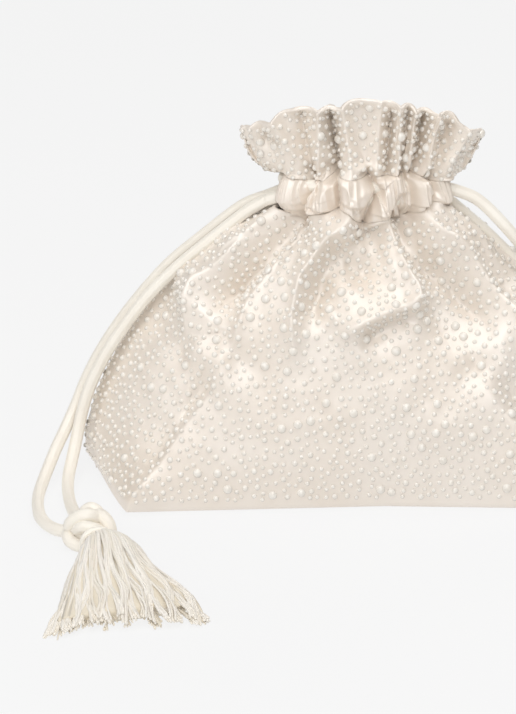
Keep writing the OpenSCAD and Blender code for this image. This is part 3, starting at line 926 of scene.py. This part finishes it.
def make_pearls(name, grid, count, seed, replaced, margin):
    """All the half pearls of one piece of cloth, flat side on the cloth"""
    points, facing, sizes = scattered(grid, count, seed, margin)
    random = np.random.default_rng(seed + 1)
    parts = []
    faces = []
    first = 0
    for number, (diameter, _, segments, rings) in enumerate(PEARL_SIZES):
        mine = sizes == number
        if not mine.any():
            continue
        place = points[mine]
        up = facing[mine]
        helper = np.where(np.abs(up[:, 2:3]) < 0.8, [[0, 0, 1.0]], [[1.0, 0, 0]])
        across = np.cross(helper, up)
        across /= np.linalg.norm(across, axis=1)[:, None]
        third = np.cross(up, across)
        verts, dome_faces = dome(segments, rings)
        radius = diameter / 2 * random.uniform(0.93, 1.05, len(place))
        local = verts[None] * radius[:, None, None]
        world = (place[:, None] + local[..., 0:1] * across[:, None] + local[..., 1:2] * third[:, None]
                 + local[..., 2:3] * up[:, None])
        parts.append(world.reshape(-1, 3))
        for k in range(len(place)):
            shift = first + k * len(verts)
            faces.extend([[shift + i for i in face] for face in dome_faces])
        first += len(place) * len(verts)
    piece = make_piece(name, np.vstack(parts), faces, pearl)
    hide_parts(replaced)
    return piece


# ---------------------------------------------------------------- the cloth pieces

# Thickness of the satin with its interlining, of satin and of the facing's satin
PADDED_SATIN = 1.9
SATIN = 0.8
THIN_SATIN = 0.6
# Depth of the two faces of the lining behind the satin's face
LINING = (2.3, 2.9)
HEM_RADIUS = 0.7


def make_cloth(name, wall, outside, inside, material, slot, *nodes):
    """A closed piece of cloth between two grids, which stands for the CAD nodes"""
    if wall == "back":
        outside = as_back(outside)
        inside = as_back(inside)
    piece = closed_sheet(f"{name}_{wall}", outside, inside, material)
    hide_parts(*[f"{node}_{wall}" for node in nodes])
    on_wall(piece)


def make_wall(wall):
    """All the cloth and pearls of the front or the back"""
    mirror = -1 if wall == "back" else 1
    body = body_grid(mirror)
    casing = casing_grid(mirror)
    ruffle = ruffle_grid(mirror)

    inner_skin = behind(body, PADDED_SATIN)
    inner_skin[:TURN_ROWS, :, 2] = np.maximum(inner_skin[:TURN_ROWS, :, 2], 0.4)
    make_cloth("satin_panel", wall, body, inner_skin, satin, "satin", "outer", "interlining")
    coarse = body[8::2, ::3]
    make_cloth("lining_cloth", wall, behind(coarse, LINING[0]), behind(coarse, LINING[1]), lining,
               "lining", "lining")
    make_cloth("gathered_casing", wall, casing, behind(casing, SATIN), plain_satin, "plain_satin",
               "casing")
    hemmed = hem_over(ruffle, HEM_RADIUS)
    make_cloth("pleated_ruffle", wall, hemmed, behind(hemmed, SATIN), satin, "satin", "ruffle")
    facing = facing_grid(ruffle)
    make_cloth("pleated_facing", wall, facing, behind(facing, THIN_SATIN), plain_satin, "plain_satin",
               "ruffle_facing")

    if wall == "back":
        body = as_back(body)
        ruffle = as_back(ruffle)
    pearls = make_pearls(f"panel_half_pearls_{wall}", body, BODY_PEARLS, 41 + mirror,
                         f"large_pearls_{wall}", (8, 4))
    rim_pearls = make_pearls(f"ruffle_half_pearls_{wall}", ruffle, RUFFLE_PEARLS, 51 + mirror,
                             f"ruffle_pearls_{wall}", (3, 4))
    on_wall(pearls)
    on_wall(rim_pearls)


for wall in ("front", "back"):
    make_wall(wall)

for node, material in (("base_panel", satin), ("base_board", board), ("lining_base", lining)):
    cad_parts[node].data.materials.clear()
    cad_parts[node].data.materials.append(material)

# ---------------------------------------------------------------- knots


def on_body(piece, body, node):
    """The piece rides on a body and stands for a CAD node"""
    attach(piece, body)
    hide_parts(node)
    return piece


# The direction in which each tassel runs from its knot, the right one's as if mirrored to the left
TASSEL_TURN = {"left": np.radians(-74), "right": np.radians(-86)}


def tassel_axes(side):
    """Along the tassel, across it to the right of the left tassel, and up"""
    turn = TASSEL_TURN[side]
    along = np.array([np.cos(turn), np.sin(turn), 0])
    across = np.array([-along[1], along[0], 0])
    flip = np.array([MIRROR[side], 1, 1])
    return along * flip, across * flip, np.array([0, 0, 1.0])


def from_tassel(points, side):
    """Points given as (along, across, up) from the knot's place on the floor"""
    along, across, up = tassel_axes(side)
    p = np.asarray(points, float)
    origin = KNOT[side] * [1, 1, 0]
    return origin + p[:, :1] * along + p[:, 1:2] * across + p[:, 2:] * up


# Turns of the left knot: points (right, away, up) from under its middle, radius and flatness
KNOT_TURNS = [
    # the small loop on top, at the back
    ([(-5, 6, 9), (-4, 7, 13), (-0.5, 6.5, 15.6), (3, 5.5, 13.5), (4, 5, 9)], 2.5, 0.95),
    # the thick turn from the left up to the top
    ([(-9, 3, 6), (-9, 0.5, 10), (-6, -0.5, 13.4), (-1.5, -0.5, 14.8), (2.5, 2, 12.5)], 3.3, 0.95),
    # the broad turn down the right side to the tassel
    ([(0, 4, 13), (4, 2, 14), (7.5, -1, 11.5), (8.6, -4, 7.5), (8, -8, 5)], 3.1, 0.85),
    # the turn across the front
    ([(-6, -1, 8), (-3.5, -4.5, 11.2), (1, -6, 11.2), (5, -7, 9), (6.5, -9, 5.5)], 3.2, 0.9),
    # the thin band under it
    ([(-3, -6.5, 5.5), (0.5, -8.6, 7.6), (5, -9.2, 7.8), (9.5, -7.5, 6)], 1.6, 0.9),
    # the outer strand, flattened where it goes under
    ([(-9.5, 2.5, 5.8), (-10.2, -0.5, 5.4), (-9, -4, 4.4), (-6, -6.5, 3.6), (-2, -8, 3.2)], 3.0, 0.85),
    # filling under the turns
    ([(-4, 1, 7), (0, -1.5, 7.5), (4, -4, 6.5), (5, -8, 5.5)], 5.6, 0.9),
]


def make_knot(side):
    """The turns of cord that tie the two strands of a side together"""
    parts = []
    for points, radius, flat in KNOT_TURNS:
        world = KNOT[side] * [1, 1, 0] + mirrored(points, side)
        line = even_line(smooth_line(world), 0.6)
        parts.append(tube(line, radius, 28, ribs=9, rib_depth=0.04, flat=flat))
    verts, faces = joined(parts)
    verts[:, 2] = np.maximum(verts[:, 2], 0.3)
    piece = make_piece(f"{side}_tied_knot", verts, faces, cord_satin, tone=cord_tone(verts))
    return on_body(piece, f"{side}_pull", f"{side}_knot")


# ---------------------------------------------------------------- tassels

# Distance along the tassel against its left edge, right edge and height, in millimetres
TASSEL_LEFT = np.array([(8, -5), (16, -8.5), (32, -15), (52, -23), (67, -29), (84, -35)])
TASSEL_RIGHT = np.array([(8, 6), (11, 11), (16, 15.5), (26, 18.5), (38, 20.5), (46, 23), (63, 31),
                         (84, 33)])
TASSEL_HEIGHT = np.array([(8, 11), (14, 14.5), (24, 15.5), (40, 13.5), (60, 9), (86, 4.5)])
YARN_LENGTHS = 500


def tassel_line(random, across, level, start, reach):
    """One length of yarn: across runs from -1 to 1 and level from 0 on the floor to 1 on top"""
    t = np.linspace(0, 1, 18)
    along = start + (reach - start) * t
    low = looked_up(TASSEL_LEFT, along, 2.0)
    high = looked_up(TASSEL_RIGHT, along, 2.0)
    # lengths of yarn gather into locks that wave together
    lock = np.floor(across * 9) + 0.5 * np.floor(level * 3)
    towards = (lock + 0.5) / 9 - across if abs(across) < 0.9 else 0
    side = (low + high) / 2 + (high - low) / 2 * (across + 0.35 * towards * t)
    round_off = np.sqrt(np.maximum(1 - across**2, 0.02))
    up = looked_up(TASSEL_HEIGHT, along, 2.0) * (0.12 + 0.88 * level * round_off)
    phase = random.uniform(0, 6.28)
    turns = random.uniform(1.6, 3.4)
    sway = random.uniform(0.3, 0.9) * t
    together = 1.5 * t**1.2 * np.sin(6.28 * (1.7 * t + 0.37 * lock))
    side = side + together + sway * np.sin(turns * 6.28 * t + phase)
    up = up + 0.5 * together + 0.6 * sway * np.cos(turns * 5.1 * t + 2 * phase)
    return np.stack([along, side, np.maximum(up, 0.7)], -1), lock


def make_tassel(side):
    """The skirt of loose yarn"""
    random = np.random.default_rng(77 if side == "left" else 78)
    parts = []
    tones_with_painted_shade = []
    for number in range(YARN_LENGTHS):
        across = np.clip(np.sin(random.uniform(-1.5, 1.5)), -0.985, 0.985)
        level = 1 - abs(random.normal(0, 0.12)) if number % 4 else random.uniform(0.2, 0.85)
        uneven = 3.5 * value_noise(np.array([across * 10]), np.array([0.0]), 1.2, 9)[0]
        reach = 80 + uneven + random.normal(0, 1.3) + 3 * across + 2.5 * across**2
        line, lock = tassel_line(random, across, level, 7 + random.uniform(0, 1.5), reach)
        world = even_line(smooth_line(from_tassel(line, side), 2), 3.0)
        size = random.uniform(0.5, 0.75)
        verts, faces = tube(world, size * np.linspace(1.0, 0.8, len(world)), 5)
        verts[:, 2] = np.maximum(verts[:, 2], 0.15)
        parts.append((verts, faces))
        # Painted shade: yarn lying low in the tassel, near the floor, is darker and yarn on top is lighter,
        # with a small random change from lock to lock and from yarn to yarn
        tone = 0.35 + 0.5 * level + 0.08 * np.sin(5 * lock) + random.normal(0, 0.1)
        tones_with_painted_shade.append(np.full(len(verts), np.clip(tone, 0, 1)))
    verts, faces = joined(parts)
    piece = make_piece(f"{side}_yarn_skirt", verts, faces, yarn, tone=np.concatenate(tones_with_painted_shade))
    return on_body(piece, f"{side}_tassel", f"{side}_tassel_skirt")


def make_tassel_head(side):
    """The dense middle of the tassel, grooved where the yarn bends over it"""
    rings, sides = 44, 96
    along = np.linspace(9, 74, rings)
    turn = np.linspace(0, 2 * np.pi, sides, endpoint=False)
    along, turn = np.meshgrid(along, turn, indexing="ij")
    low = looked_up(TASSEL_LEFT, along, 2.0)
    high = looked_up(TASSEL_RIGHT, along, 2.0)
    top = looked_up(TASSEL_HEIGHT, along, 2.0)
    grooves = 1 + 0.035 * np.sin(24 * turn + 3 * value_noise(along, 5 * turn, 9, 3))
    middle = (low + high) / 2
    half = (high - low) / 2
    side_way = middle + 0.9 * half * np.cos(turn) * grooves
    up = 0.4 + (0.86 * top / 2) * (1 + np.sin(turn) * grooves)
    grid = np.stack([along, side_way, up], -1)
    verts = from_tassel(grid.reshape(-1, 3), side)
    faces = grid_faces(rings, sides, around=True)[:, ::-1].tolist()
    faces.append(list(range(sides)))
    faces.append(list(range(rings * sides - 1, (rings - 1) * sides - 1, -1)))
    if side == "right":
        # mirrored, so every face is turned over
        faces = [face[::-1] for face in faces]
    # The head's even tone of 0.35 is painted shade: it is as dark as the lowest yarn, so the gaps between
    # the yarn strands above it read as shade deep inside the tassel
    piece = make_piece(f"{side}_yarn_head", verts, faces, yarn, tone=np.full(len(verts), 0.35))
    return on_body(piece, f"{side}_tassel", f"{side}_tassel_head")


def make_binding(side):
    """Two glossy turns of cord round the top of the tassel"""
    parts = []
    for shift, radius, wide, high in ((9.0, 1.5, 6.0, 5.2), (11.2, 1.3, 6.8, 5.8)):
        turn = np.linspace(0, 2 * np.pi, 40)
        ring = np.stack([shift + 0 * turn, 0.5 + wide * np.cos(turn), 1.5 + high + high * np.sin(turn)], -1)
        parts.append(tube(from_tassel(ring, side), radius, 14))
    verts, faces = joined(parts)
    verts[:, 2] = np.maximum(verts[:, 2], 0.2)
    piece = make_piece(f"{side}_glossy_binding", verts, faces, cord_satin, tone=np.full(len(verts), 0.9))
    return on_body(piece, f"{side}_tassel", f"{side}_binding")


for side in ("left", "right"):
    end_pieces = [make_knot(side), make_binding(side), make_tassel_head(side), make_tassel(side)]
